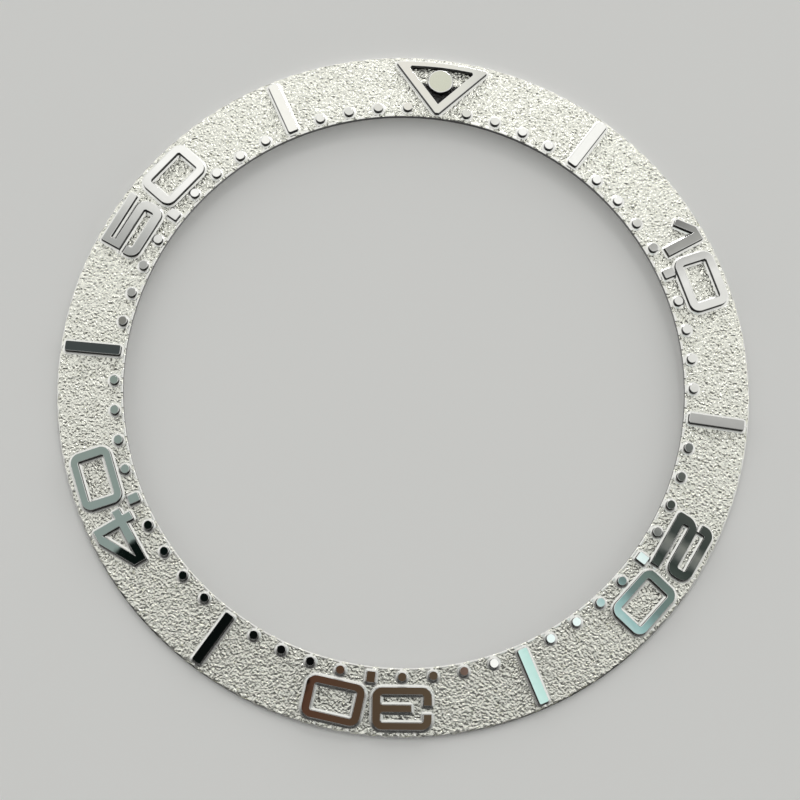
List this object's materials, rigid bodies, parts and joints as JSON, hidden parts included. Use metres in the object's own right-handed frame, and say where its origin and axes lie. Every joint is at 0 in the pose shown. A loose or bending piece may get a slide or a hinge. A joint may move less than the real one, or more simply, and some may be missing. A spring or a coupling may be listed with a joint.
{
  "type": "watch bezel insert",
  "caption": "Sloping dished ring for a diver's watch bezel, grained, with raised polished minute markers, numerals and a triangle.",
  "frame": {"origin": "centre of the ring, in the plane of the flat seat round its back", "axes": "+Z out of the front face along the ring's axis, +Y towards the triangle at twelve o'clock, +X towards the baton at fifteen minutes"},
  "size_m": [0.038, 0.038, 0.0012],
  "materials": {
    "grained_steel": "coarse frosted grain, bright, with fine turned back and edges",
    "polished_steel": "mirror polish with faint scratches"
  },
  "bodies": {
    "root": {"insert_ring": "grained_steel", "triangle": "polished_steel", "triangle_pip": "polished_steel", "baton_05": "polished_steel", "baton_15": "polished_steel", "baton_25": "polished_steel", "baton_35": "polished_steel", "baton_45": "polished_steel", "baton_55": "polished_steel", "short_marker_10": "polished_steel", "short_marker_20": "polished_steel", "short_marker_30": "polished_steel", "short_marker_40": "polished_steel", "short_marker_50": "polished_steel", "numeral_10_one": "polished_steel", "numeral_20_two": "polished_steel", "numeral_30_three": "polished_steel", "numeral_40_four": "polished_steel", "numeral_50_five": "polished_steel", "numeral_10_zero": "polished_steel", "numeral_20_zero": "polished_steel", "numeral_30_zero": "polished_steel", "numeral_40_zero": "polished_steel", "numeral_50_zero": "polished_steel", "dots_01_to_04": "polished_steel", "dots_06_to_09": "polished_steel", "dots_11_to_14": "polished_steel", "dots_16_to_19": "polished_steel", "dots_21_to_24": "polished_steel", "dots_26_to_29": "polished_steel", "dots_31_to_34": "polished_steel", "dots_36_to_39": "polished_steel", "dots_41_to_44": "polished_steel", "dots_46_to_49": "polished_steel", "dots_51_to_54": "polished_steel", "dots_56_to_59": "polished_steel"}
  },
  "joints": []
}
